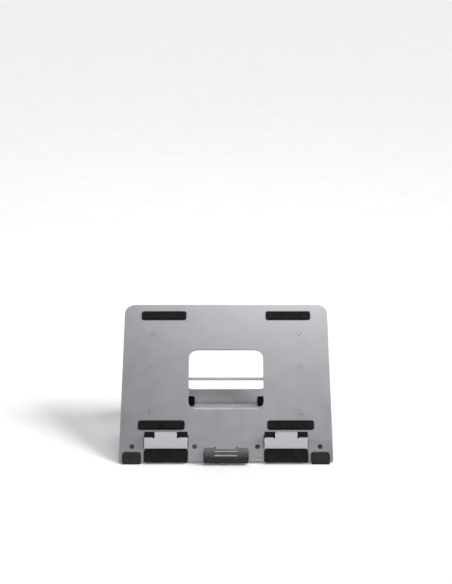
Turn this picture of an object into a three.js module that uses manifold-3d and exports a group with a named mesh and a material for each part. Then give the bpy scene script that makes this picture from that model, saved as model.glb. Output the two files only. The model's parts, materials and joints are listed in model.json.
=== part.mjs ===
// Laptop stand: a bent sheet-metal support with two hooks, a flip-up lip and a folding rear leg.
//
// Millimetres, +X to the right, +Y to the back, +Z up. The user faces +Y.
// Sloping pieces are drawn flat, each in a group that is turned about X. In such a group X runs
// across the stand, Y along the sheet, and Z is the height over the sheet's outer face.

import * as THREE from 'three';
import { mergeVertices } from 'three/addons/utils/BufferGeometryUtils.js';
import Module from 'manifold-3d';

const wasm = await Module();
wasm.setup();

const deg = THREE.MathUtils.degToRad;

// ---- Driving dimensions ----

const GAP = 0.3; // clearance between pieces that touch
const MARGIN = 10; // how far a cutting tool runs past what it cuts
const SIDES = [-1, 1]; // left and right

// The support: one sheet, a short front strip and a long panel behind the crease
const WIDTH = 278;
const SHEET = 2.5;
const STRIP_TILT = deg(44);
const PANEL_TILT = deg(39);
const STRIP_LENGTH = 29;
const PANEL_LENGTH = 205;
const EDGE_HEIGHT = 3; // outer corner of the front edge, over the table
const FRONT_CORNER = 2;
const REAR_CORNER = 14;
const WINDOW = { halfWidth: 50, from: 45, to: 135, corner: 12 };

// The hooks: T-shaped tongues cut out of the sheet and bent up
const HOOK = {
  x: 78.2,
  halfWidth: 28.1,
  halfNeck: 14.4,
  root: 16.2, // where the tongue leaves the strip
  shoulder: 17.1, // from the root, along the tongue
  length: 24.8,
  lean: deg(45),
  bend: 2,
  corner: 1.2,
  slit: 0.4, // width of the cut round the tongue
  relief: 1.2, // radius of the bite in each inner corner of the neck
};

// The rubber bumper behind each hook, and the plate that carries it
const BUMPER = { face: 7.6, top: 11.4, ledge: 4, round: 1.2 };
const BUMPER_PLATE = { halfWidth: 47, from: 13.5, to: 28, thick: 2, corner: 3 };

// Fasteners: screws with flat heads deep in round pockets in the strip, and flush countersunk
// rivets in the panel and behind the lip
const SCREW = { head: 2.9, headThick: 0.6, sink: 1, shank: 1.5, length: 4.1 };
const SCREW_PLACES = { xs: [41, 122.6], y: 20.2 };
const SCREW_CROSS = { long: 3.6, wide: 1, depth: 0.4 };
const RIVET = { head: 3.2, shank: 1.6, depth: 1.5, tail: 2.8, tailThick: 1.2 };

// Rubber on the front strip and on the panel
const PAD = { halfWidth: 28, overhang: 1.6, drop: 0.8, to: 15.5, thick: 1.4, corner: 2 };
const FOOT = { x: 122.6, halfWidth: 11.4, top: 12.5, wall: 1.6, corner: 3 };
const REST = { x: 85, halfWidth: 30, halfDepth: 6, thick: 1.5, ys: [22, 188] };

// The lip: a cover on a core plate that turns on a pin, over the strip's middle. Two metal bars
// lie in grooves in the cover's face.
const LIP_PIN = { y: 14, z: 2.6, radius: 1, halfLength: 15.4 };
const LIP_EAR = { inner: 13.4, outer: 14.8, radius: 2.3, slotTop: 19.8 };
const LIP_CORE = { halfBarrel: 13.1, halfPlate: 24, thick: 2, plateTop: 11.3, end: -0.5 };
const LIP_COVER = { halfWidth: 28.4, cheek: 2.8, recessHalf: 13, recessFrom: 14.4 };
const LIP_BAR = { halfLength: 15, radius: 1.1, places: [0.37, 0.74] };
const LIP_BRACKET = { halfWidth: 27, from: 6, to: 24, thick: 2, corner: 3 };
const LIP_RIVET = { x: 21.5, y: 10.5 };

// The rails under the panel, which carry the leg's hinge and the strut's slots
const RAIL = { web: 91, thick: 2.5, flange: 105, drop: 15.5, from: 13, to: 176, corner: 4 };
const RAIL_RIVETS = { x: 99.5, ys: [40, 110, 160] };
const HINGE = { y: 168, z: -9 };

// The leg: a channel that swings on the hinge, with a strut that keeps it open
const LEG_ANGLE = deg(279); // direction from the hinge to the foot, in the Y-Z plane
const LEG = { halfWidth: 85, thick: 2.5, front: 4.5, back: 6.2, round: 5, webFrom: 8, flangeTo: 112 };
const LEG_WINDOW = { halfWidth: 56, from: 24, to: 98, corner: 10 };
const LEG_FOOT = { x: 58, halfWidth: 13, wall: 1.8, height: 13, clearance: 1.5 };
const LEG_PIN = { radius: 2, head: 3.3, headThick: 1.3 };
const BUSH_RADIUS = 4;

const STRUT = { length: 73, inner: 86, outer: 89, halfWidth: 5.5 };
const STRUT_PIN = { radius: 1.7, head: 3.2, headThick: 1.2 };
const ROD = { radius: 2, halfLength: 96 };
const CLIP = { radius: 3.4, thick: 1.2 };

// ---- Finishes ----

function finish(color, roughness, metalness) {
  return () => new THREE.MeshStandardMaterial({ color, roughness, metalness });
}

const ALUMINIUM = finish(0x9a9ca1, 0.42, 0.9);
const STEEL = finish(0x8d9094, 0.35, 1);
const BLACK_RUBBER = finish(0x191917, 0.8, 0);
const GREY_RUBBER = finish(0x302e2d, 0.75, 0);
const LIP_PLASTIC = finish(0x3b3d3f, 0.55, 0);
const NYLON = finish(0x222222, 0.6, 0);

// ---- Solids ----

function solidOf(geometry) {
  const bare = geometry.clone();
  bare.deleteAttribute('normal');
  bare.deleteAttribute('uv');
  const merged = mergeVertices(bare, 1e-4);
  const vertProperties = new Float32Array(merged.attributes.position.array);
  const triVerts = new Uint32Array(merged.index.array);
  return new wasm.Manifold(new wasm.Mesh({ numProp: 3, vertProperties, triVerts }));
}

function geometryOf(solid) {
  const mesh = solid.getMesh();
  const geometry = new THREE.BufferGeometry();
  geometry.setAttribute('position', new THREE.BufferAttribute(mesh.vertProperties, 3));
  geometry.setIndex(new THREE.BufferAttribute(mesh.triVerts, 1));
  return geometry;
}

function join(first, ...others) {
  return geometryOf(others.reduce((sum, other) => sum.add(solidOf(other)), solidOf(first)));
}

function cut(base, ...tools) {
  return geometryOf(tools.reduce((rest, tool) => rest.subtract(solidOf(tool)), solidOf(base)));
}

function common(first, second) {
  return geometryOf(solidOf(first).intersect(solidOf(second)));
}

// A flat plate: its outline is drawn in X-Y and it fills Z from bottom to top.
function plate(outline, bottom, top, curveSegments = 6) {
  const settings = { depth: top - bottom, bevelEnabled: false, curveSegments };
  return new THREE.ExtrudeGeometry(outline, settings).translate(0, 0, bottom);
}

// A bar across the stand: its section is drawn in Y-Z and it fills X from left to right.
function bar(section, left, right, curveSegments = 6) {
  const acrossX = new THREE.Matrix4().set(0, 0, 1, left, 1, 0, 0, 0, 0, 1, 0, 0, 0, 0, 0, 1);
  const settings = { depth: right - left, bevelEnabled: false, curveSegments };
  return new THREE.ExtrudeGeometry(section, settings).applyMatrix4(acrossX);
}

// A turned piece that stands on Z, from a list of [radius, height] that starts and ends on the axis.
function turned(profile, segments = 14) {
  const points = profile.map(([radius, height]) => new THREE.Vector2(radius, height));
  return new THREE.LatheGeometry(points, segments).rotateX(Math.PI / 2);
}

// The X range between two distances from the middle, on one side of the stand.
function span(side, inner, outer) {
  return side > 0 ? [inner, outer] : [-outer, -inner];
}

// ---- Outlines ----

function polygon(points) {
  return new THREE.Shape(points.map(([x, y]) => new THREE.Vector2(x, y)));
}

function circle(x, y, radius, sides = 16) {
  const turn = (2 * Math.PI) / sides;
  const corners = Array.from({ length: sides }, (_, i) => {
    return [x + radius * Math.cos(i * turn), y + radius * Math.sin(i * turn)];
  });
  return polygon(corners);
}

function roundedBox(left, right, bottom, top, corner) {
  const outline = new THREE.Shape();
  outline.absarc(right - corner, bottom + corner, corner, deg(-90), 0, false);
  outline.absarc(right - corner, top - corner, corner, 0, deg(90), false);
  outline.absarc(left + corner, top - corner, corner, deg(90), deg(180), false);
  outline.absarc(left + corner, bottom + corner, corner, deg(180), deg(270), false);
  return outline;
}

// A slot along the first axis, round at both ends.
function slot(from, to, middle, radius) {
  const outline = new THREE.Shape();
  outline.absarc(to, middle, radius, deg(-90), deg(90), false);
  outline.absarc(from, middle, radius, deg(90), deg(270), false);
  return outline;
}

function withHoles(outline, ...holes) {
  outline.holes.push(...holes);
  return outline;
}

// What rounding a square corner takes away. The corner points towards (sideX, sideY).
function cornerWaste(x, y, radius, sideX, sideY) {
  const clockwise = sideX * sideY < 0;
  const start = sideX > 0 ? 0 : Math.PI;
  const end = sideY > 0 ? Math.PI / 2 : -Math.PI / 2;
  const outline = new THREE.Shape();
  outline.absarc(x - sideX * radius, y - sideY * radius, radius, start, end, clockwise);
  outline.lineTo(x - sideX * radius, y + sideY);
  outline.lineTo(x + sideX, y + sideY);
  outline.lineTo(x + sideX, y - sideY * radius);
  return outline;
}

// ---- The strip's and the panel's frames ----

const CREASE = STRIP_TILT - PANEL_TILT;

// A point of the panel's frame, in the strip's frame.
function panelPoint(along, height) {
  return [
    STRIP_LENGTH + along * Math.cos(CREASE) + height * Math.sin(CREASE),
    height * Math.cos(CREASE) - along * Math.sin(CREASE),
  ];
}

function fromPanel(geometry) {
  return geometry.rotateX(-CREASE).translate(0, STRIP_LENGTH, 0);
}

// Where the table is, along the strip, under a point at this height over the strip's face.
function tableUnderStrip(height) {
  return -(EDGE_HEIGHT + height * Math.cos(STRIP_TILT)) / Math.sin(STRIP_TILT);
}

// ---- Fasteners ----

function screw() {
  const { head, headThick, sink, shank, length } = SCREW;
  const neck = [[shank, -length], [shank, -headThick]];
  const body = turned([[0, -length], ...neck, [head, -headThick], [head, 0], [0, 0]]);
  const { long, wide, depth } = SCREW_CROSS;
  const arm = new THREE.BoxGeometry(long, wide, 2 * depth);
  const crossArm = new THREE.BoxGeometry(wide, long, 2 * depth);
  return cut(body, arm, crossArm).translate(0, 0, -sink);
}

// A straight pocket for the head, and a hole for the shank under it.
function screwHole(x, y) {
  const { head, headThick, sink, shank } = SCREW;
  const floor = -sink - headThick - GAP;
  const pocket = [[head + GAP, floor], [head + GAP, 1]];
  return holeTool(shank + GAP, floor, pocket, x, y);
}

function rivetHole(x, y) {
  const { head, shank, depth } = RIVET;
  return holeTool(shank + GAP, -depth, [[head + GAP, 0], [head + GAP, 1]], x, y);
}

// A turned cutting tool: straight through up to a height, then this wider profile.
function holeTool(radius, top, wider, x, y) {
  return turned([[0, -MARGIN], [radius, -MARGIN], [radius, top], ...wider, [0, 1]], 24).translate(x, y, 0);
}

function rivet(grip) {
  const { tail, tailThick } = RIVET;
  const neck = -grip - GAP;
  const upset = [[0, neck - tailThick], [tail, neck - tailThick], [tail, neck]];
  const { head, shank, depth } = RIVET;
  return turned([...upset, [shank, neck], [shank, -depth], [head, 0], [0, 0]]);
}

// ---- The support ----

function hookOutline(grow) {
  const wide = HOOK.halfWidth + grow;
  const neck = HOOK.halfNeck + grow;
  const shoulder = HOOK.shoulder + grow;
  const end = HOOK.length + grow;
  const corner = HOOK.corner;
  const outline = new THREE.Shape();
  outline.absarc(wide - corner, shoulder - corner, corner, 0, deg(90), false);
  outline.lineTo(neck, shoulder);
  outline.absarc(neck - corner, end - corner, corner, 0, deg(90), false);
  outline.absarc(corner - neck, end - corner, corner, deg(90), deg(180), false);
  outline.lineTo(-neck, shoulder);
  outline.absarc(corner - wide, shoulder - corner, corner, deg(90), deg(180), false);
  return outline;
}

// The tongue starts inside the strip, follows the bend and ends at the hook's tip.
function hookSection() {
  const { root, length, lean, bend } = HOOK;
  const bendStart = root - bend * Math.tan(lean / 2);
  const tip = [root + length * Math.cos(lean), length * Math.sin(lean)];
  const section = new THREE.Shape();
  section.moveTo(bendStart - SHEET, 0);
  section.absarc(bendStart, bend, bend, deg(-90), lean - deg(90), false);
  section.lineTo(...tip);
  section.lineTo(tip[0] + SHEET * Math.sin(lean), tip[1] - SHEET * Math.cos(lean));
  section.absarc(bendStart, bend, bend + SHEET, lean - deg(90), deg(-90), true);
  section.lineTo(bendStart - SHEET, -SHEET);
  return section;
}

function hook() {
  const blank = bar(hookSection(), -HOOK.halfWidth, HOOK.halfWidth);
  const outline = hookOutline(0);
  outline.lineTo(-HOOK.halfWidth, -MARGIN);
  outline.lineTo(HOOK.halfWidth, -MARGIN);
  const reliefs = SIDES.map((side) => {
    const bite = circle(side * (HOOK.halfNeck + HOOK.relief), HOOK.shoulder, HOOK.relief);
    return plate(bite, -MARGIN, MARGIN);
  });
  const trim = cut(plate(outline, -MARGIN, MARGIN), ...reliefs);
  return common(blank, trim.rotateX(HOOK.lean).translate(0, HOOK.root, 0));
}

function hookWindow() {
  const wide = HOOK.halfWidth + HOOK.slit;
  const start = -HOOK.bend * Math.tan(HOOK.lean / 2);
  const outline = hookOutline(HOOK.slit);
  outline.lineTo(-wide, start);
  outline.lineTo(wide, start);
  return plate(outline, -MARGIN, MARGIN).translate(0, HOOK.root, 0);
}

function sheetSection() {
  return polygon([
    [0, 0],
    [STRIP_LENGTH, 0],
    panelPoint(PANEL_LENGTH, 0),
    panelPoint(PANEL_LENGTH, -SHEET),
    [STRIP_LENGTH - SHEET * Math.tan(CREASE / 2), -SHEET],
    [0, -SHEET],
  ]);
}

function panelWindow() {
  const { halfWidth, from, to, corner } = WINDOW;
  return fromPanel(plate(roundedBox(-halfWidth, halfWidth, from, to, corner), -MARGIN, MARGIN));
}

// The slot that an ear of the lip's bracket comes through. It is longer than the ear, which is
// put in from behind.
function lipSlot(side) {
  const [left, right] = span(side, LIP_EAR.inner - GAP, LIP_EAR.outer + GAP);
  const bottom = LIP_PIN.y - LIP_EAR.radius - GAP;
  return plate(roundedBox(left, right, bottom, LIP_EAR.slotTop, GAP), -MARGIN, MARGIN);
}

function supportTools() {
  const tools = [panelWindow()];
  for (const side of SIDES) {
    const edge = (side * WIDTH) / 2;
    const rear = cornerWaste(edge, PANEL_LENGTH, REAR_CORNER, side, 1);
    tools.push(fromPanel(plate(rear, -MARGIN, MARGIN)));
    tools.push(plate(cornerWaste(edge, 0, FRONT_CORNER, side, -1), -MARGIN, MARGIN));
    tools.push(hookWindow().translate(side * HOOK.x, 0, 0));
    tools.push(lipSlot(side));
    tools.push(rivetHole(side * LIP_RIVET.x, LIP_RIVET.y));
    SCREW_PLACES.xs.forEach((x) => {
      tools.push(screwHole(side * x, SCREW_PLACES.y));
    });
    RAIL_RIVETS.ys.forEach((y) => {
      tools.push(fromPanel(rivetHole(side * RAIL_RIVETS.x, y)));
    });
  }
  return tools;
}

function supportPlate() {
  const sheet = cut(bar(sheetSection(), -WIDTH / 2, WIDTH / 2), ...supportTools());
  const hooks = SIDES.map((side) => hook().translate(side * HOOK.x, 0, 0));
  return join(sheet, ...hooks);
}

// ---- Pieces on the front strip ----

// The bumper fills the hook's window, follows the hook's back and overhangs the panel.
function bumper() {
  const { face, top, ledge, round } = BUMPER;
  const hookBack = HOOK.root + SHEET * Math.tan(HOOK.lean / 2) + SHEET + GAP / Math.sin(HOOK.lean);
  const [backY, topZ] = panelPoint(face, top);
  const section = new THREE.Shape();
  section.moveTo(hookBack - SHEET, -SHEET);
  section.lineTo(hookBack + topZ, topZ);
  section.lineTo(backY - round, topZ);
  section.quadraticCurveTo(backY, topZ, ...panelPoint(face, top - 2 * round));
  section.lineTo(...panelPoint(face, GAP));
  section.lineTo(...panelPoint(ledge, GAP));
  section.lineTo(...panelPoint(ledge, -SHEET));
  section.lineTo(STRIP_LENGTH, -SHEET);
  return bar(section, -HOOK.halfWidth, HOOK.halfWidth);
}

// A plate behind the strip, with a straight hole for each fastener.
function backingPlate({ halfWidth, from, to, thick, corner }, middle, holes) {
  const outline = roundedBox(middle - halfWidth, middle + halfWidth, from, to, corner);
  return plate(withHoles(outline, ...holes), -SHEET - GAP - thick, -SHEET - GAP);
}

function bumperPlate(side) {
  const { xs, y } = SCREW_PLACES;
  const holes = xs.map((x) => circle(side * x, y, SCREW.shank + GAP));
  const middle = (xs[0] + xs[1]) / 2;
  return backingPlate(BUMPER_PLATE, side * middle, holes);
}

// The pad lies on the strip and turns down over its front edge.
function frontPad(side) {
  const { halfWidth, overhang, drop, to, thick, corner } = PAD;
  const [left, right] = [side * HOOK.x - halfWidth, side * HOOK.x + halfWidth];
  const section = polygon([[to, GAP], [to, GAP + thick], [-overhang, GAP + thick],
    [-overhang, -drop], [-GAP, -drop], [-GAP, GAP]]);
  const outline = roundedBox(left, right, -overhang, to, corner);
  return common(bar(section, left, right), plate(outline, -MARGIN, MARGIN));
}

// The foot clips over the sheet's front edge and stands flat on the table.
function edgeFootSection() {
  const { top, wall } = FOOT;
  const front = GAP + wall;
  const back = -SHEET - GAP - wall;
  const toe = -0.5;
  const section = new THREE.Shape();
  section.moveTo(top, GAP);
  section.quadraticCurveTo(top, front, top - wall, front);
  section.lineTo(-GAP, front);
  section.quadraticCurveTo(tableUnderStrip(front) / 2, front, tableUnderStrip(toe), toe);
  section.lineTo(tableUnderStrip(back), back);
  section.lineTo(top - 2 * wall, back);
  section.lineTo(top - wall, back + wall);
  section.lineTo(-GAP, back + wall);
  section.lineTo(-GAP, GAP);
  return section;
}

function edgeFoot(side) {
  const { x, halfWidth, top, corner } = FOOT;
  const [left, right] = span(side, x - halfWidth, x + halfWidth);
  const outline = roundedBox(left, right, -MARGIN, top, corner);
  return common(bar(edgeFootSection(), left, right), plate(outline, -MARGIN, MARGIN));
}

// ---- The lip ----
// The lip's own pieces are drawn in a group whose origin is the pin, along the strip's slope.

function lipCore() {
  const { halfBarrel, halfPlate, thick, plateTop, end } = LIP_CORE;
  const radius = LIP_EAR.radius;
  const bottom = end - LIP_PIN.y;
  const section = new THREE.Shape();
  section.moveTo(bottom, radius);
  section.absarc(0, 0, radius, deg(90), deg(-180), true);
  section.lineTo(-radius, radius - thick);
  section.lineTo(bottom, radius - thick);
  withHoles(section, circle(0, 0, LIP_PIN.radius + GAP));
  const tongue = bar(section, -halfBarrel, halfBarrel);
  const outline = roundedBox(-halfPlate, halfPlate, bottom, plateTop - LIP_PIN.y, thick);
  return join(tongue, plate(outline, radius - thick, radius));
}

const LIP_FACE = {
  bottomFront: [-4.1, 3.5], // lowest front corner, along the strip and over it
  upright: [1.6, 9.4], // end of the upright face
  crown: [3.6, 11], // where the upright face and the sloping top would meet
  top: [16.3, 6.8],
  bottomBack: [-2.3, 1.7],
};

function lipFaceCurve() {
  const { upright, crown, top } = LIP_FACE;
  const [start, control, end] = [upright, crown, top].map(([y, z]) => new THREE.Vector2(y, z));
  return new THREE.QuadraticBezierCurve(start, control, end);
}

// The outer face, then the given points on the inside, from the top edge back to the bottom.
function lipSection(inside) {
  const face = lipFaceCurve().getPoints(12).map((point) => [point.x, point.y]);
  return polygon([LIP_FACE.bottomFront, ...face, ...inside, LIP_FACE.bottomBack]);
}

// A bar across the lip's face, with its middle a little under the face.
function lipBarAt(place, grow) {
  const { halfLength, radius } = LIP_BAR;
  const { x, y } = lipFaceCurve().getPoint(place);
  const half = halfLength + grow;
  return bar(circle(x, y - GAP, radius + grow), -half, half).translate(0, -LIP_PIN.y, -LIP_PIN.z);
}

function lipCover() {
  const { halfWidth, cheek, recessHalf, recessFrom } = LIP_COVER;
  const under = LIP_PIN.z + LIP_EAR.radius + GAP;
  const toe = LIP_CORE.end - GAP;
  const top = LIP_FACE.top[0];
  const shell = lipSection([[top, under], [toe, under], [toe, LIP_FACE.bottomBack[1]]]);
  const cheekSection = lipSection([[top, LIP_PIN.z], [top - cheek, GAP], [1, GAP]]);
  const cheeks = SIDES.map((side) => bar(cheekSection, ...span(side, halfWidth - cheek, halfWidth)));
  const whole = join(bar(shell, -halfWidth, halfWidth), ...cheeks);
  const recess = plate(roundedBox(-recessHalf, recessHalf, recessFrom, top + MARGIN, 1), 0, 2 * MARGIN);
  const cover = cut(whole, recess).translate(0, -LIP_PIN.y, -LIP_PIN.z);
  return cut(cover, ...LIP_BAR.places.map((place) => lipBarAt(place, GAP)));
}

function lipBracket() {
  const { radius, inner, outer } = LIP_EAR;
  const base = -SHEET - GAP;
  const holes = SIDES.map((side) => circle(side * LIP_RIVET.x, LIP_RIVET.y, RIVET.shank + GAP));
  const ear = new THREE.Shape();
  ear.moveTo(LIP_PIN.y + radius, base - 1);
  ear.absarc(LIP_PIN.y, LIP_PIN.z, radius, 0, deg(180), false);
  ear.lineTo(LIP_PIN.y - radius, base - 1);
  withHoles(ear, circle(LIP_PIN.y, LIP_PIN.z, LIP_PIN.radius + GAP / 2));
  const ears = SIDES.map((side) => bar(ear, ...span(side, inner, outer)));
  return join(backingPlate(LIP_BRACKET, 0, holes), ...ears);
}

function lipPin() {
  return bar(circle(0, 0, LIP_PIN.radius), -LIP_PIN.halfLength, LIP_PIN.halfLength);
}

// ---- Pieces under and on the panel ----

function restStrip() {
  const { halfWidth, halfDepth, thick } = REST;
  const outline = roundedBox(-halfWidth, halfWidth, -halfDepth, halfDepth, 2);
  return plate(outline, GAP, GAP + thick);
}

// The rod runs in this slot. Its ends are where the leg stands open and where it is folded.
function rodSlot() {
  const open = HINGE.y - STRUT.length;
  const folded = HINGE.y - 2 * STRUT.length;
  return slot(folded, open, HINGE.z, ROD.radius + GAP);
}

function sideRail(side) {
  const { web, thick, flange, drop, from, to, corner } = RAIL;
  const roof = -SHEET - GAP;
  const pinHole = circle(HINGE.y, HINGE.z, LEG_PIN.radius + GAP);
  const webOutline = polygon([[from, roof], [to, roof], [to, HINGE.z - corner], [to - 2 * corner, -drop],
    [from + 2 * corner, -drop], [from, HINGE.z - corner]]);
  const upright = bar(withHoles(webOutline, rodSlot(), pinHole), ...span(side, web, web + thick));
  const rivetHoles = RAIL_RIVETS.ys.map((y) => circle(side * RAIL_RIVETS.x, y, RIVET.shank + GAP));
  const flangeOutline = roundedBox(...span(side, web, flange), from, to, 2);
  const top = plate(withHoles(flangeOutline, ...rivetHoles), roof - thick, roof);
  return join(upright, top);
}

// A pin along X with a head at each end, from the leg's inside face to the given outside face.
function headedPin(side, outside, { radius, head, headThick }) {
  const inside = LEG.halfWidth - LEG.thick - GAP;
  const shank = bar(circle(0, 0, radius), ...span(side, inside - headThick, outside + headThick));
  const innerHead = bar(circle(0, 0, head), ...span(side, inside - headThick, inside));
  const outerHead = bar(circle(0, 0, head), ...span(side, outside, outside + headThick));
  return join(shank, innerHead, outerHead);
}

function legPin(side) {
  return headedPin(side, RAIL.web + RAIL.thick + GAP, LEG_PIN);
}

function ring(inner, outer, left, right) {
  return bar(withHoles(circle(0, 0, outer), circle(0, 0, inner)), left, right);
}

function legBush(side) {
  const range = span(side, LEG.halfWidth + GAP, RAIL.web - GAP);
  return ring(LEG_PIN.radius + GAP, BUSH_RADIUS, ...range);
}

// ---- The leg and its strut ----
// The leg's group starts at the hinge: Y runs down the leg and Z points to the back.
// The strut's group starts at its pivot on the leg: Y runs towards the rod.

const STRIP_EDGE = new THREE.Vector3(0, 0, EDGE_HEIGHT);
const CREASE_LINE = onSlope(STRIP_EDGE, STRIP_TILT, STRIP_LENGTH, 0);
const HINGE_LINE = onSlope(CREASE_LINE, PANEL_TILT, HINGE.y, HINGE.z);
const STRUT_PIVOT = onSlope(HINGE_LINE, LEG_ANGLE, STRUT.length, 0);

// The rod lies on the panel's line through the hinge, so hinge, pivot and rod make a triangle
// with two equal sides, and the strut turns twice as far as the leg does.
const STRUT_ANGLE = 2 * (Math.PI + PANEL_TILT) - LEG_ANGLE;

function onSlope(start, tilt, along, height) {
  const y = along * Math.cos(tilt) - height * Math.sin(tilt);
  const z = along * Math.sin(tilt) + height * Math.cos(tilt);
  return start.clone().add(new THREE.Vector3(0, y, z));
}

// How far down the leg a height over the table is, at this distance behind the leg's line.
function legReach(overTable, behind) {
  return (HINGE_LINE.z - overTable + behind * Math.cos(LEG_ANGLE)) / -Math.sin(LEG_ANGLE);
}

function legFlangeSection() {
  const { round, front, back, flangeTo } = LEG;
  const section = new THREE.Shape();
  section.absarc(0, 0, round, deg(90), deg(270), false);
  section.lineTo(flangeTo - 2 * front, -front);
  section.lineTo(flangeTo, back / 2);
  section.lineTo(flangeTo, back);
  section.lineTo(2 * round, back);
  const pinHole = circle(0, 0, LEG_PIN.radius + GAP);
  const strutHole = circle(STRUT.length, 0, STRUT_PIN.radius + GAP);
  return withHoles(section, pinHole, strutHole);
}

function legChannel() {
  const { halfWidth, thick, back, webFrom } = LEG;
  const { clearance } = LEG_FOOT;
  const end = legReach(clearance, back - thick);
  const opening = roundedBox(-LEG_WINDOW.halfWidth, LEG_WINDOW.halfWidth,
    LEG_WINDOW.from, LEG_WINDOW.to, LEG_WINDOW.corner);
  const outline = roundedBox(-halfWidth, halfWidth, webFrom, end, 2);
  const web = plate(withHoles(outline, opening), back - thick, back);
  const flanges = SIDES.map((side) => {
    return bar(legFlangeSection(), ...span(side, halfWidth - thick, halfWidth));
  });
  return join(web, ...flanges);
}

function legFoot(side) {
  const { x, halfWidth, wall, height, clearance } = LEG_FOOT;
  const edge = legReach(clearance, LEG.back - LEG.thick) + GAP;
  const inner = [LEG.back - LEG.thick - GAP, LEG.back + GAP];
  const outer = [inner[0] - wall, inner[1] + wall];
  const top = edge - height;
  const section = polygon([
    [top, outer[0]], [legReach(0, outer[0]), outer[0]], [legReach(0, outer[1]), outer[1]],
    [top, outer[1]], [top, inner[1]], [edge, inner[1]], [edge, inner[0]], [top, inner[0]],
  ]);
  return bar(section, ...span(side, x - halfWidth, x + halfWidth));
}

function strutArm(side) {
  const { length, inner, outer, halfWidth } = STRUT;
  const pivot = circle(0, 0, STRUT_PIN.radius + GAP);
  const rodHole = circle(length, 0, ROD.radius + GAP);
  return bar(withHoles(slot(0, length, 0, halfWidth), pivot, rodHole), ...span(side, inner, outer));
}

function strutPin(side) {
  return headedPin(side, STRUT.outer + GAP, STRUT_PIN);
}

function strutRod() {
  return bar(circle(STRUT.length, 0, ROD.radius), -ROD.halfLength, ROD.halfLength);
}

function rodClip(side) {
  const inner = RAIL.web + RAIL.thick + GAP;
  const clip = ring(ROD.radius + GAP, CLIP.radius, ...span(side, inner, inner + CLIP.thick));
  return clip.translate(0, STRUT.length, 0);
}

// ---- The assembly ----

function tiltedGroup(parent, origin, angle) {
  const group = new THREE.Group();
  group.position.copy(origin);
  group.rotation.x = angle;
  parent.add(group);
  return group;
}

function addPiece(group, name, geometry, material, x = 0, y = 0) {
  const mesh = new THREE.Mesh(geometry, material());
  mesh.name = name;
  mesh.position.set(x, y, 0);
  group.add(mesh);
}

function addFrontPieces(strip) {
  addPiece(strip, 'support_plate', supportPlate(), ALUMINIUM);
  addPiece(strip, 'lip_bracket', lipBracket(), STEEL);
  for (const side of SIDES) {
    const word = side < 0 ? 'left' : 'right';
    addPiece(strip, `hook_bumper_${word}`, bumper(), BLACK_RUBBER, side * HOOK.x);
    addPiece(strip, `bumper_plate_${word}`, bumperPlate(side), STEEL);
    addPiece(strip, `front_pad_${word}`, frontPad(side), BLACK_RUBBER);
    addPiece(strip, `edge_foot_${word}`, edgeFoot(side), GREY_RUBBER);
    const lipRivet = rivet(SHEET + GAP + LIP_BRACKET.thick);
    addPiece(strip, `lip_rivet_${word}`, lipRivet, ALUMINIUM, side * LIP_RIVET.x, LIP_RIVET.y);
    SCREW_PLACES.xs.forEach((x, i) => {
      const place = i === 0 ? 'inner' : 'outer';
      addPiece(strip, `front_screw_${word}_${place}`, screw(), STEEL, side * x, SCREW_PLACES.y);
    });
  }
}

function addLip(lip) {
  addPiece(lip, 'lip_core', lipCore(), STEEL);
  addPiece(lip, 'lip_cover', lipCover(), LIP_PLASTIC);
  addPiece(lip, 'lip_pin', lipPin(), STEEL);
  LIP_BAR.places.forEach((place, i) => {
    addPiece(lip, i === 0 ? 'lip_bar_lower' : 'lip_bar_upper', lipBarAt(place, 0), STEEL);
  });
}

function addPanelPieces(panel) {
  for (const side of SIDES) {
    const word = side < 0 ? 'left' : 'right';
    addPiece(panel, `side_rail_${word}`, sideRail(side), ALUMINIUM);
    RAIL_RIVETS.ys.forEach((y, i) => {
      const place = ['front', 'middle', 'rear'][i];
      const grip = SHEET + GAP + RAIL.thick;
      addPiece(panel, `rail_rivet_${word}_${place}`, rivet(grip), ALUMINIUM, side * RAIL_RIVETS.x, y);
    });
    REST.ys.forEach((y, i) => {
      const place = ['front', 'rear'][i];
      addPiece(panel, `rest_strip_${word}_${place}`, restStrip(), BLACK_RUBBER, side * REST.x, y);
    });
  }
}

function addLeg(leg) {
  addPiece(leg, 'leg_channel', legChannel(), ALUMINIUM);
  for (const side of SIDES) {
    const word = side < 0 ? 'left' : 'right';
    addPiece(leg, `leg_foot_${word}`, legFoot(side), BLACK_RUBBER);
    addPiece(leg, `leg_pin_${word}`, legPin(side), STEEL);
    addPiece(leg, `leg_bush_${word}`, legBush(side), NYLON);
  }
}

function addStrut(strut) {
  addPiece(strut, 'strut_rod', strutRod(), STEEL);
  for (const side of SIDES) {
    const word = side < 0 ? 'left' : 'right';
    addPiece(strut, `strut_arm_${word}`, strutArm(side), STEEL);
    addPiece(strut, `strut_pin_${word}`, strutPin(side), STEEL);
    addPiece(strut, `rod_clip_${word}`, rodClip(side), STEEL);
  }
}

const laptopStand = new THREE.Group();
const lipLine = onSlope(STRIP_EDGE, STRIP_TILT, LIP_PIN.y, LIP_PIN.z);
addFrontPieces(tiltedGroup(laptopStand, STRIP_EDGE, STRIP_TILT));
addLip(tiltedGroup(laptopStand, lipLine, STRIP_TILT));
addPanelPieces(tiltedGroup(laptopStand, CREASE_LINE, PANEL_TILT));
addLeg(tiltedGroup(laptopStand, HINGE_LINE, LEG_ANGLE));
addStrut(tiltedGroup(laptopStand, STRUT_PIVOT, STRUT_ANGLE));

// The origin is the middle of the bounding box's bottom face.
const box = new THREE.Box3().setFromObject(laptopStand, true);
laptopStand.position.set(0, -(box.min.y + box.max.y) / 2, -box.min.z);

export default laptopStand;
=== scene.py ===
"""Looks for the laptop stand: finer meshes for its small pieces, materials, a pale stage and a camera.

Sizes are in millimetres in each sloping piece's own frame, as the design has them: X across the
stand, Y along the sheet, Z over the sheet's outer face. Slope matrices turn them into metres.
"""

import json
import math

import bmesh
import bpy
from mathutils import Matrix, Vector


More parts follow.
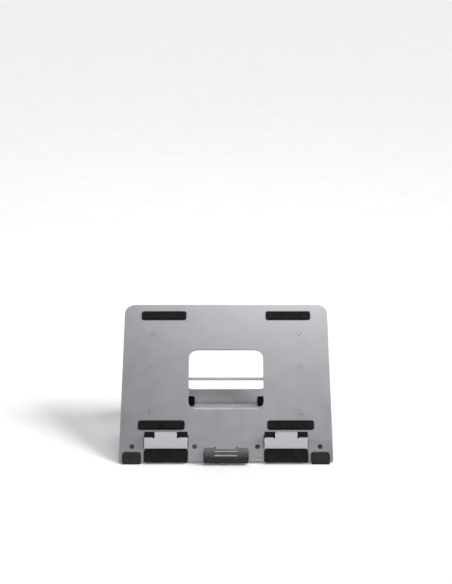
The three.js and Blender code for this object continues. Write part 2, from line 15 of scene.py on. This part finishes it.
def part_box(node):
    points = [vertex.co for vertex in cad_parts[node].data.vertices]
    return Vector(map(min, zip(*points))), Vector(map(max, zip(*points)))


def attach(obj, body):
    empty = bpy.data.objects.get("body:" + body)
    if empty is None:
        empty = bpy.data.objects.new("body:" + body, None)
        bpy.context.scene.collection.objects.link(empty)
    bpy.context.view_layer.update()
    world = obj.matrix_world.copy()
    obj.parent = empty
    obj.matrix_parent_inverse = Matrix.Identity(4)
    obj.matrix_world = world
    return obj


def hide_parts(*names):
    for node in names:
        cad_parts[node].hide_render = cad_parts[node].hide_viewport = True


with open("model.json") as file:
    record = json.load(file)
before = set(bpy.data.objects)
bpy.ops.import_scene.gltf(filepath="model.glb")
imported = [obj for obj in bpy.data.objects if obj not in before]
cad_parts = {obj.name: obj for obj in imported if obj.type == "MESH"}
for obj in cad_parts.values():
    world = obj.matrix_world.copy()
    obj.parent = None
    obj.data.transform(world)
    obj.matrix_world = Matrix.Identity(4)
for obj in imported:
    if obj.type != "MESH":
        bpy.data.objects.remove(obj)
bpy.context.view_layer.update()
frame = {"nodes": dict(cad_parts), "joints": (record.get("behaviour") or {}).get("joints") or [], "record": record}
NODES = frame["nodes"]
JOINTS = {joint["name"]: joint for joint in frame["joints"]}

MM = 0.001
SIDES = {"left": -1, "right": 1}
GAP = 0.3  # clearance that the design keeps between pieces
DOUBLE = 1e-5  # points nearer than this are one point

# The sheet
SHEET = 2.5
STRIP_TILT = math.radians(44)
PANEL_TILT = math.radians(39)
STRIP_LENGTH = 29

# Rubber on the sheet
HOOK_X = 78.2
PAD = {"half_width": 28, "low": -1.6, "drop": 0.8, "high": 15.5, "thick": 1.4, "corner": 2}
REST = {"x": 85, "half_width": 30, "half_depth": 6, "thick": 1.5, "corner": 2}
REST_PLACES = {"front": 22, "rear": 188}

# Fasteners
SCREWS = {"inner": 41, "outer": 122.6}
SCREW = {"head": 2.9, "head_thick": 0.6, "shank": 1.5, "length": 4.1}
SCREW_SPOT = {"y": 20.2, "sink": 1}
CROSS = {"reach": 1.8, "half_wide": 0.5, "depth": 1, "taper": 0.45}
RIVET = {"head": 3.2, "rim": 0.15, "shank": 1.6, "depth": 1.5, "tail": 2.8, "tail_thick": 1.2}
RAIL_RIVETS = {"front": 40, "middle": 110, "rear": 160}
RAIL_RIVET_X = 99.5
RAIL_GRIP = 5.3
LIP_RIVET = {"x": 21.5, "y": 10.5, "grip": 4.8}

# Pins, bushes and the rod, as distances from the middle of the stand
LEG_PIN = {"inside": 82.2, "outside": 93.8, "radius": 2, "head": 3.3, "head_thick": 1.3}
STRUT_PIN = {"inside": 82.2, "outside": 89.3, "radius": 1.7, "head": 3.2, "head_thick": 1.2}
BUSH = {"inner": 2.3, "outer": 4, "left": 85.3, "right": 90.7}
CLIP = {"inner": 2.3, "outer": 3.4, "left": 93.8, "right": 95}
ROD = {"radius": 2, "half_length": 96}
LIP_PIN = {"radius": 1, "half_length": 15.4, "y": 14, "z": 2.6}

# The lip's cover, along the strip and over it, and the bars in its grooves
COVER = {"half_width": 28.4, "cheek": 2.8, "under": 5.2, "toe": -0.8}
COVER_FACE = [(1.6, 9.4), (3.6, 11), (16.3, 6.8)]
COVER_FOOT = {"front": (-4.1, 3.5), "back": (-2.3, 1.7)}
RECESS = {"half_width": 13, "from": 14.4, "corner": 1}
BAR = {"half_length": 15, "radius": 1.1}
BAR_PLACES = {"lower": 0.37, "upper": 0.74}

# The studio: where each light stands (metres), its size and its power
HORIZON = {"up_to": 0.3, "glow": 1.7}  # the height is a direction's rise, from 0 to 1
CEILING = {"from": 0.6, "glow": 0.08}
SOFTBOXES = {
    "overhead_softbox": ((0.1, 0.3, 1.6), (0.8, 0.4), 7),
    "front_softbox": ((-0.03, -0.62, 1.0), (0.25, 0.25), 0.45),
}
SIDE_LIGHT = {"spot": (1.6, 0.0, 1.4), "power": 2.65, "softness": math.radians(25)}
FLOOR_SIZE = 60
CAMERA = {"lens": 86.3, "sensor": 36, "tilt": math.radians(70)}
CAMERA_OFFSET = Vector((0, -1.63, 0.827))  # from the strip's front edge


def slope(origin, tilt):
    """The matrix from a sloping frame in millimetres to the world in metres."""
    return Matrix.Translation(origin) @ Matrix.Rotation(tilt, 4, "X") @ Matrix.Scale(MM, 4)


def joint_slope(name, tilt):
    return slope(Vector(JOINTS[name]["pos_m"]), tilt)


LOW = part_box("support_plate")[0]
STRIP_EDGE = Vector((0, LOW[1], LOW[2] + SHEET * math.cos(STRIP_TILT) * MM))
STRIP = slope(STRIP_EDGE, STRIP_TILT)
PANEL = slope(STRIP @ Vector((0, STRIP_LENGTH, 0)), PANEL_TILT)
HINGE = joint_slope("leg_fold", PANEL_TILT)
STRUT_PIVOT = joint_slope("strut_fold", PANEL_TILT)
LIP_PIVOT = joint_slope("lip_flip", STRIP_TILT)


# ---- Materials ----


class Surface:
    """A principled material with short calls for the nodes that vary it."""

    def __init__(self, name, roughness, metallic=0.0, **constants):
        self.material = bpy.data.materials.new(name)
        self.material.use_nodes = True
        self.tree = self.material.node_tree
        self.shader = self.tree.nodes["Principled BSDF"]
        self.shader.inputs["Metallic"].default_value = metallic
        self.shader.inputs["Roughness"].default_value = roughness
        for socket, value in constants.items():
            self.shader.inputs[socket.replace("_", " ")].default_value = value
        self.where = self.tree.nodes.new("ShaderNodeTexCoord").outputs["Object"]

    def link(self, source, target):
        self.tree.links.new(source, target)

    def stretched(self, stretch):
        mapping = self.tree.nodes.new("ShaderNodeMapping")
        mapping.inputs["Scale"].default_value = stretch
        self.link(self.where, mapping.inputs["Vector"])
        return mapping.outputs["Vector"]

    def noise(self, size, detail=3.0, stretch=(1, 1, 1)):
        """Noise whose blobs are about this many millimetres across."""
        node = self.tree.nodes.new("ShaderNodeTexNoise")
        node.inputs["Scale"].default_value = 1 / (size * MM)
        node.inputs["Detail"].default_value = detail
        self.link(self.stretched(stretch), node.inputs["Vector"])
        return node.outputs["Fac"]

    def cells(self, size):
        node = self.tree.nodes.new("ShaderNodeTexVoronoi")
        node.inputs["Scale"].default_value = 1 / (size * MM)
        self.link(self.where, node.inputs["Vector"])
        return node.outputs["Distance"]

    def ramp(self, source, low, high, start=0.35, end=0.65):
        """A colour or number that runs from low to high as the source does from start to end."""
        node = self.tree.nodes.new("ShaderNodeMapRange")
        node.inputs["From Min"].default_value = start
        node.inputs["From Max"].default_value = end
        node.inputs["To Min"].default_value = low
        node.inputs["To Max"].default_value = high
        self.link(source, node.inputs["Value"])
        return node.outputs["Result"]

    def colour(self, source, first, second, start=0.35, end=0.65):
        node = self.tree.nodes.new("ShaderNodeValToRGB")
        node.color_ramp.elements[0].position = start
        node.color_ramp.elements[0].color = (*first, 1)
        node.color_ramp.elements[1].position = end
        node.color_ramp.elements[1].color = (*second, 1)
        self.link(source, node.inputs["Fac"])
        self.link(node.outputs["Color"], self.shader.inputs["Base Color"])

    def mix_in(self, tint, amount):
        """Mixes another colour into the base, by a socket that runs from 0 to 1."""
        mix = self.tree.nodes.new("ShaderNodeMixRGB")
        mix.inputs["Color2"].default_value = (*tint, 1)
        base = self.shader.inputs["Base Color"]
        self.link(base.links[0].from_socket, mix.inputs["Color1"])
        self.link(amount, mix.inputs["Fac"])
        self.link(mix.outputs["Color"], base)

    def paint_top_light(self, tint, start, end):
        """Painted highlight: lightens what faces up, where the light from above falls. start and end say how far
        up: 0 is level, 1 is straight up.
        """
        split = self.tree.nodes.new("ShaderNodeSeparateXYZ")
        self.link(self.where.node.outputs["Normal"], split.inputs["Vector"])
        self.mix_in(tint, self.ramp(split.outputs["Z"], 0, 1, start, end))

    def paint_corner_shade(self, tint, reach):
        """Painted shade: darkens the insides of holes and tight corners, up to a reach in millimetres."""
        corners = self.tree.nodes.new("ShaderNodeAmbientOcclusion")
        corners.inputs["Distance"].default_value = reach * MM
        self.mix_in(tint, self.ramp(corners.outputs["AO"], 1, 0, 0.62, 0.9))

    def vary_roughness(self, source, low, high):
        self.link(self.ramp(source, low, high), self.shader.inputs["Roughness"])

    def bump(self, *layers):
        """Bumps on top of each other, each a (source, depth in millimetres)."""
        normal = None
        for source, depth in layers:
            node = self.tree.nodes.new("ShaderNodeBump")
            node.inputs["Distance"].default_value = depth * MM
            self.link(source, node.inputs["Height"])
            if normal:
                self.link(normal, node.inputs["Normal"])
            normal = node.outputs["Normal"]
        self.link(normal, self.shader.inputs["Normal"])


def blasted_aluminium(name, light, dark):
    """Bead-blasted, clear-anodised sheet: a fine even grain with faint handling marks."""
    surface = Surface(name, 0.4, 1.0)
    marks = surface.noise(38, 5)
    surface.colour(marks, dark, light)
    # Painted shade in the screw pockets, at the hooks' roots and in other tight corners.
    surface.paint_corner_shade((0.01, 0.01, 0.011), 2.5)
    surface.vary_roughness(surface.noise(16, 4), 0.385, 0.415)
    surface.bump((surface.noise(0.35, 2), 0.012), (surface.noise(1.4, 3), 0.012))
    return surface.material


def plated_steel(name, light, dark, roughness):
    """Zinc-plated steel: drawn lines along the piece under a slightly cloudy plating."""
    surface = Surface(name, roughness, 1.0)
    surface.colour(surface.noise(22, 3), dark, light)
    # Painted shade in holes and tight corners.
    surface.paint_corner_shade((0.008, 0.008, 0.008), 2.5)
    surface.vary_roughness(surface.noise(9, 3), roughness - 0.03, roughness + 0.04)
    surface.bump((surface.noise(0.5, 3, (0.08, 1, 1)), 0.004), (surface.noise(0.6, 2), 0.002))
    return surface.material


def rubber(name, light, dark, roughness):
    """Moulded rubber: a leathery grain, a soft bloom and a little dust."""
    surface = Surface(name, roughness, 0.0, Specular_IOR_Level=0.2)
    surface.colour(surface.noise(5, 6), dark, light, 0.3, 0.75)
    surface.vary_roughness(surface.noise(9, 4), roughness - 0.08, min(roughness + 0.1, 1))
    surface.bump((surface.cells(0.7), 0.03), (surface.noise(0.25, 2), 0.02))
    return surface.material


def grained_plastic(name, light, dark, roughness):
    """Moulded plastic with a spark-eroded grain and a painted highlight on its upward faces."""
    surface = Surface(name, roughness, 0.0, Specular_IOR_Level=0.35)
    surface.colour(surface.noise(12, 4), dark, light)
    # Painted highlight: upward faces are lighter, as where the light from above falls.
    surface.paint_top_light((0.055, 0.057, 0.059), 0.2, 0.9)
    surface.vary_roughness(surface.noise(4, 3), roughness - 0.05, roughness + 0.08)
    surface.bump((surface.noise(0.4, 4), 0.03), (surface.noise(6, 2), 0.01))
    return surface.material


def make_materials():
    return {
        "bead_blasted_aluminium": blasted_aluminium(
            "bead_blasted_aluminium", (0.49, 0.49, 0.514), (0.472, 0.472, 0.496)
        ),
        "rail_aluminium": blasted_aluminium(
            "rail_aluminium", (0.54, 0.54, 0.56), (0.49, 0.49, 0.51)
        ),
        "plain_steel": plated_steel("plain_steel", (0.5, 0.5, 0.51), (0.45, 0.45, 0.465), 0.34),
        # The screw steel is far darker than the plain steel: painted shade for the heads sunk in their pockets.
        "screw_steel": plated_steel("screw_steel", (0.24, 0.24, 0.24), (0.16, 0.16, 0.165), 0.3),
        "rivet_aluminium": plated_steel(
            "rivet_aluminium", (0.56, 0.56, 0.58), (0.48, 0.48, 0.5), 0.36
        ),
        "bar_aluminium": plated_steel("bar_aluminium", (0.42, 0.42, 0.43), (0.34, 0.34, 0.35), 0.4),
        "black_rubber": rubber("black_rubber", (0.006, 0.006, 0.0055), (0.002, 0.002, 0.0018), 0.8),
        "grey_rubber": rubber("grey_rubber", (0.022, 0.02, 0.0195), (0.011, 0.0105, 0.01), 0.7),
        "lip_plastic": grained_plastic(
            "lip_plastic", (0.006, 0.0062, 0.0065), (0.003, 0.0031, 0.0033), 0.3
        ),
        "black_nylon": grained_plastic("black_nylon", (0.02, 0.02, 0.02), (0.012, 0.012, 0.012), 0.45),
    }


MATERIALS = make_materials()
SLOT_OF_NODE = {part["node"]: part["material_slot"] for part in frame["record"]["subparts"]}


# ---- Mesh tools ----


def arc(x, y, radius, start, end, steps=10):
    """Points of an arc, with its angles in degrees."""
    turns = [math.radians(start + (end - start) * i / steps) for i in range(steps + 1)]
    return [(x + radius * math.cos(turn), y + radius * math.sin(turn)) for turn in turns]


def rounded_box(left, right, low, high, corner):
    points = arc(right - corner, low + corner, corner, -90, 0)
    points += arc(right - corner, high - corner, corner, 0, 90)
    points += arc(left + corner, high - corner, corner, 90, 180)
    points += arc(left + corner, low + corner, corner, 180, 270)
    return points


def bezier(start, control, end, steps):
    """Points of a quadratic curve."""
    points = []
    for i in range(steps + 1):
        t = i / steps
        weights = ((1 - t) ** 2, 2 * t * (1 - t), t**2)
        points.append(
            tuple(
                sum(weight * point[axis] for weight, point in zip(weights, (start, control, end)))
                for axis in (0, 1)
            )
        )
    return points


def new_object(name, mesh):
    obj = bpy.data.objects.new(name, mesh)
    bpy.context.scene.collection.objects.link(obj)
    return obj


def prism(name, outline, low, high):
    """A solid with this outline in X-Y, from low to high in Z."""
    mesh = bpy.data.meshes.new(name)
    shape = bmesh.new()
    base = [shape.verts.new((x, y, low)) for x, y in outline]
    top = [shape.verts.new((x, y, high)) for x, y in outline]
    shape.faces.new(base)
    shape.faces.new(top)
    count = len(outline)
    for i in range(count):
        j = (i + 1) % count
        shape.faces.new((base[i], base[j], top[j], top[i]))
    bmesh.ops.remove_doubles(shape, verts=shape.verts, dist=DOUBLE)
    bmesh.ops.recalc_face_normals(shape, faces=shape.faces)
    shape.to_mesh(mesh)
    shape.free()
    return new_object(name, mesh)


def across(name, section, left, right):
    """A bar along X with this section in Y-Z."""
    bar = prism(name, section, left, right)
    bar.data.transform(Matrix(((0, 0, 1, 0), (1, 0, 0, 0), (0, 1, 0, 0), (0, 0, 0, 1))))
    return bar


def turned(name, profile, along_x=False, sides=48):
    """A turned solid from (radius, height) points. It starts and ends on the axis, or closes."""
    mesh = bpy.data.meshes.new(name)
    shape = bmesh.new()
    rings = []
    for radius, height in profile:
        if radius == 0:
            rings.append([shape.verts.new((0, 0, height))] * sides)
            continue
        turns = [2 * math.pi * i / sides for i in range(sides)]
        ring = [(radius * math.cos(turn), radius * math.sin(turn), height) for turn in turns]
        rings.append([shape.verts.new(point) for point in ring])
    if profile[0][0] > 0:
        rings.append(rings[0])
    for lower, upper in zip(rings, rings[1:]):
        for i in range(sides):
            j = (i + 1) % sides
            corners = [lower[i], lower[j], upper[j], upper[i]]
            shape.faces.new(list(dict.fromkeys(corners)))
    bmesh.ops.recalc_face_normals(shape, faces=shape.faces)
    shape.to_mesh(mesh)
    shape.free()
    piece = new_object(name, mesh)
    if along_x:
        piece.data.transform(Matrix.Rotation(math.pi / 2, 4, "Y"))
    return piece


def boolean(piece, tool, operation):
    """Applies one boolean to the piece and deletes the tool."""
    modifier = piece.modifiers.new("boolean", "BOOLEAN")
    modifier.object = tool
    modifier.operation = operation
    modifier.solver = "EXACT"
    depsgraph = bpy.context.evaluated_depsgraph_get()
    result = bpy.data.meshes.new_from_object(piece.evaluated_get(depsgraph))
    piece.modifiers.clear()
    piece.data = result
    bpy.data.objects.remove(tool)


def soften(piece, width, segments=3, flat=False):
    """Rounds the sharp edges and shades the rest smoothly. flat joins coplanar triangles first."""
    if flat:
        planar = piece.modifiers.new("planar", "DECIMATE")
        planar.decimate_type = "DISSOLVE"
        planar.angle_limit = math.radians(1)
    bevel = piece.modifiers.new("edges", "BEVEL")
    bevel.width = width * MM
    bevel.segments = segments
    bevel.limit_method = "ANGLE"
    bevel.angle_limit = math.radians(32)
    bevel.miter_outer = "MITER_ARC"
    bevel.use_clamp_overlap = True
    normals = piece.modifiers.new("normals", "WEIGHTED_NORMAL")
    normals.keep_sharp = True
    normals.weight = 100


def shade_smooth(piece):
    for polygon in piece.data.polygons:
        polygon.use_smooth = True


def finish_piece(piece, place, body, node, edge, segments=3):
    """Places a new piece, rounds its edges and lets it stand for a node, in that node's finish."""
    piece.data.transform(place)
    shade_smooth(piece)
    soften(piece, edge, segments)
    slot = SLOT_OF_NODE[node]
    piece.data.materials.clear()
    piece.data.materials.append(MATERIALS[slot])
    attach(piece, body)
    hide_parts(node)


# ---- Rubber on the sheet ----


def make_front_pads():
    """Each pad lies on the strip and turns down over its front edge."""
    low, high, drop, top = PAD["low"], PAD["high"], -PAD["drop"], GAP + PAD["thick"]
    section = [(high, GAP), (high, top), (low, top), (low, drop), (-GAP, drop), (-GAP, GAP)]
    for word, side in SIDES.items():
        left = side * HOOK_X - PAD["half_width"]
        right = side * HOOK_X + PAD["half_width"]
        pad = across(f"pad_{word}", section, left, right)
        outline = rounded_box(left, right, low, high, PAD["corner"])
        boolean(pad, prism("outline", outline, drop - 1, top + 1), "INTERSECT")
        finish_piece(pad, STRIP, "support", f"front_pad_{word}", 0.5, 4)


def make_rest_strips():
    for word, side in SIDES.items():
        for place, y in REST_PLACES.items():
            left = side * REST["x"] - REST["half_width"]
            right = side * REST["x"] + REST["half_width"]
            outline = rounded_box(
                left, right, y - REST["half_depth"], y + REST["half_depth"], REST["corner"]
            )
            strip = prism(f"strip_{word}_{place}", outline, GAP, GAP + REST["thick"])
            finish_piece(strip, PANEL, "support", f"rest_strip_{word}_{place}", 0.5, 4)


# ---- Fasteners ----


def screw_profile():
    head, under = SCREW["head"], -SCREW["head_thick"]
    shank, tip = SCREW["shank"], -SCREW["length"]
    return [(0, tip), (shank, tip), (shank, under), (head, under), (head, 0), (0, 0)]


def make_screw(name):
    screw = turned(name, screw_profile())
    reach, half, depth = CROSS["reach"], CROSS["half_wide"], CROSS["depth"]
    plus = []
    for quarter in range(4):
        turn = Matrix.Rotation(quarter * math.pi / 2, 2)
        corners = [(reach, -half), (reach, half), (half, half)]
        plus += [tuple(turn @ Vector(corner)) for corner in corners]
    recess = prism("recess", plus, -depth, depth)
    for vertex in recess.data.vertices:
        if vertex.co.z < 0:
            vertex.co.xy *= CROSS["taper"]
    boolean(screw, recess, "DIFFERENCE")
    return screw


def make_screws():
    for word, side in SIDES.items():
        for place, x in SCREWS.items():
            screw = make_screw(f"screw_{word}_{place}")
            screw.data.transform(Matrix.Rotation(side * x, 4, "Z"))
            spot = STRIP @ Matrix.Translation((side * x, SCREW_SPOT["y"], -SCREW_SPOT["sink"]))
            finish_piece(screw, spot, "support", f"front_screw_{word}_{place}", 0.12, 2)


def rivet_profile(grip):
    """A countersunk rivet, from its domed tail up to its flat head."""
    neck = -grip - GAP
    head, shank, tail = RIVET["head"], RIVET["shank"], RIVET["tail"]
    dome = [
        (tail * math.sin(turn), neck - RIVET["tail_thick"] * math.cos(turn))
        for turn in map(math.radians, range(0, 91, 15))
    ]
    cone = [(shank, -RIVET["depth"]), (head, -RIVET["rim"])]
    return [*dome, (shank, neck), *cone, (head, 0), (0, 0)]


def make_rivets():
    for word, side in SIDES.items():
        spot = STRIP @ Matrix.Translation((side * LIP_RIVET["x"], LIP_RIVET["y"], 0))
        rivet = turned(f"lip_bracket_rivet_{word}", rivet_profile(LIP_RIVET["grip"]))
        finish_piece(rivet, spot, "support", f"lip_rivet_{word}", 0.12, 2)
        for place, y in RAIL_RIVETS.items():
            spot = PANEL @ Matrix.Translation((side * RAIL_RIVET_X, y, 0))
            rivet = turned(f"panel_rivet_{word}_{place}", rivet_profile(RAIL_GRIP))
            finish_piece(rivet, spot, "support", f"rail_rivet_{word}_{place}", 0.12, 2)


# ---- Pins, bushes, clips and the rod ----


def headed_pin_profile(pin):
    inner = pin["inside"] - pin["head_thick"]
    outer = pin["outside"] + pin["head_thick"]
    return [
        (0, inner), (pin["head"], inner), (pin["head"], pin["inside"]),
        (pin["radius"], pin["inside"]), (pin["radius"], pin["outside"]),
        (pin["head"], pin["outside"]), (pin["head"], outer), (0, outer),
    ]


def ring_profile(ring):
    return [
        (ring["inner"], ring["left"]), (ring["outer"], ring["left"]),
        (ring["outer"], ring["right"]), (ring["inner"], ring["right"]),
    ]


def rod_profile(radius, half_length):
    return [(0, -half_length), (radius, -half_length), (radius, half_length), (0, half_length)]


def on_side(profile, side):
    """The same profile on the left or the right of the stand."""
    return [(radius, side * along) for radius, along in profile]


def box_middle(node):
    low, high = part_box(node)
    return Vector([(a + b) / 2 for a, b in zip(low, high)])


def make_pins():
    rod_place = Matrix.Translation(box_middle("strut_rod") - HINGE.translation) @ HINGE
    rod = turned("cross_rod", rod_profile(ROD["radius"], ROD["half_length"]), along_x=True)
    finish_piece(rod, rod_place, "strut", "strut_rod", 0.4)
    pin = turned("lip_hinge_pin", rod_profile(LIP_PIN["radius"], LIP_PIN["half_length"]), along_x=True)
    finish_piece(pin, LIP_PIVOT, "support", "lip_pin", 0.25)
    for word, side in SIDES.items():
        parts = [
            (f"hinge_pin_{word}", headed_pin_profile(LEG_PIN), HINGE, "support", f"leg_pin_{word}"),
            (f"hinge_bush_{word}", ring_profile(BUSH), HINGE, "support", f"leg_bush_{word}"),
            (f"pivot_pin_{word}", headed_pin_profile(STRUT_PIN), STRUT_PIVOT, "strut", f"strut_pin_{word}"),
            (f"retaining_clip_{word}", ring_profile(CLIP), rod_place, "strut", f"rod_clip_{word}"),
        ]
        for name, profile, place, body, node in parts:
            piece = turned(name, on_side(profile, side), along_x=True)
            finish_piece(piece, place, body, node, 0.25)


# ---- The lip's cover ----


def cover_outline():
    face = bezier(*COVER_FACE, steps=28)
    back = [(COVER_FACE[-1][0], LIP_PIN["z"]), (COVER_FACE[-1][0] - COVER["cheek"], GAP), (1, GAP)]
    return [COVER_FOOT["front"], *face, *back, COVER_FOOT["back"]]


def lip_bar(name, place, grow=0.0):
    """A bar across the cover's face, with its middle a little under the face."""
    y, z = bezier(*COVER_FACE, steps=100)[round(place * 100)]
    bar = turned(name, rod_profile(BAR["radius"] + grow, BAR["half_length"] + grow), along_x=True)
    bar.data.transform(Matrix.Translation((0, y, z - GAP)))
    return bar


def make_lip_cover():
    half, cheek = COVER["half_width"], COVER["cheek"]
    cover = across("flip_lip", cover_outline(), -half, half)
    top = COVER_FACE[-1][0] + 1
    pocket = across(
        "pocket",
        [(COVER["toe"], -1), (top, -1), (top, COVER["under"]), (COVER["toe"], COVER["under"])],
        cheek - half,
        half - cheek,
    )
    boolean(cover, pocket, "DIFFERENCE")
    wide = RECESS["half_width"]
    outline = rounded_box(-wide, wide, RECESS["from"], top + 5, RECESS["corner"])
    boolean(cover, prism("recess", outline, 0, 2 * top), "DIFFERENCE")
    for place in BAR_PLACES.values():
        boolean(cover, lip_bar("groove", place, GAP), "DIFFERENCE")
    finish_piece(cover, STRIP, "lip", "lip_cover", 0.3)


def make_lip_bars():
    for word, place in BAR_PLACES.items():
        finish_piece(lip_bar(f"inlaid_bar_{word}", place), STRIP, "lip", f"lip_bar_{word}", 0.3, 4)


# ---- CAD nodes that stay, with rounded edges ----

# How far each node's edges are rounded, by the start of its name
EDGES = {
    "support_plate": 0.35, "leg_channel": 0.35, "side_rail": 0.3, "lip_core": 0.25, "lip_bracket": 0.25,
    "bumper_plate": 0.3, "strut_arm": 0.3, "hook_bumper": 0.7, "edge_foot": 0.6, "leg_foot": 0.6,
}


def dress_cad_nodes():
    for name, node in NODES.items():
        if node.hide_render:
            continue
        width = next(size for prefix, size in EDGES.items() if name.startswith(prefix))
        node.data.materials.clear()
        node.data.materials.append(MATERIALS[SLOT_OF_NODE[name]])
        shade_smooth(node)
        soften(node, width, flat=True)


# ---- Stage, light and camera ----


def make_floor():
    bpy.ops.mesh.primitive_plane_add(size=FLOOR_SIZE)
    floor = bpy.context.object
    floor.name = "floor"
    surface = Surface("pale_floor", 0.7)
    surface.colour(surface.noise(60, 3), (0.88, 0.88, 0.88), (0.9, 0.9, 0.9))
    floor.data.materials.append(surface.material)


def make_world():
    """A studio's walls and ceiling: bright near the horizon, dim overhead."""
    world = bpy.data.worlds.new("studio")
    bpy.context.scene.world = world
    world.use_nodes = True
    tree = world.node_tree
    direction = tree.nodes.new("ShaderNodeTexCoord")
    split = tree.nodes.new("ShaderNodeSeparateXYZ")
    dimming = tree.nodes.new("ShaderNodeMapRange")
    dimming.inputs["From Min"].default_value = HORIZON["up_to"]
    dimming.inputs["From Max"].default_value = CEILING["from"]
    dimming.inputs["To Min"].default_value = HORIZON["glow"]
    dimming.inputs["To Max"].default_value = CEILING["glow"]
    tree.links.new(direction.outputs["Generated"], split.inputs["Vector"])
    tree.links.new(split.outputs["Z"], dimming.inputs["Value"])
    tree.links.new(dimming.outputs["Result"], tree.nodes["Background"].inputs["Strength"])
    tree.nodes["Background"].inputs["Color"].default_value = (0.98, 0.985, 1, 1)


def add_lamp(name, kind, spot, power):
    light = bpy.data.lights.new(name, kind)
    light.energy = power
    lamp = bpy.data.objects.new(name, light)
    bpy.context.scene.collection.objects.link(lamp)
    lamp.location = spot
    lamp.rotation_mode = "QUATERNION"
    lamp.rotation_quaternion = (-Vector(spot)).to_track_quat("-Z", "Y")
    return light


def make_lights():
    for name, (spot, size, power) in SOFTBOXES.items():
        light = add_lamp(name, "AREA", spot, power)
        light.shape = "RECTANGLE"
        light.size, light.size_y = size
    sun = add_lamp("side_light", "SUN", SIDE_LIGHT["spot"], SIDE_LIGHT["power"])
    sun.angle = SIDE_LIGHT["softness"]
    bpy.context.scene.view_settings.view_transform = "Standard"


def make_camera():
    data = bpy.data.cameras.new("camera")
    data.lens = CAMERA["lens"]
    data.sensor_width = CAMERA["sensor"]
    camera = bpy.data.objects.new("camera", data)
    bpy.context.scene.collection.objects.link(camera)
    camera.location = STRIP_EDGE + CAMERA_OFFSET
    camera.rotation_euler = (CAMERA["tilt"], 0, 0)
    bpy.context.scene.camera = camera


make_camera()
make_floor()
make_world()
make_lights()
make_front_pads()
make_rest_strips()
make_screws()
make_rivets()
make_pins()
make_lip_cover()
make_lip_bars()
dress_cad_nodes()
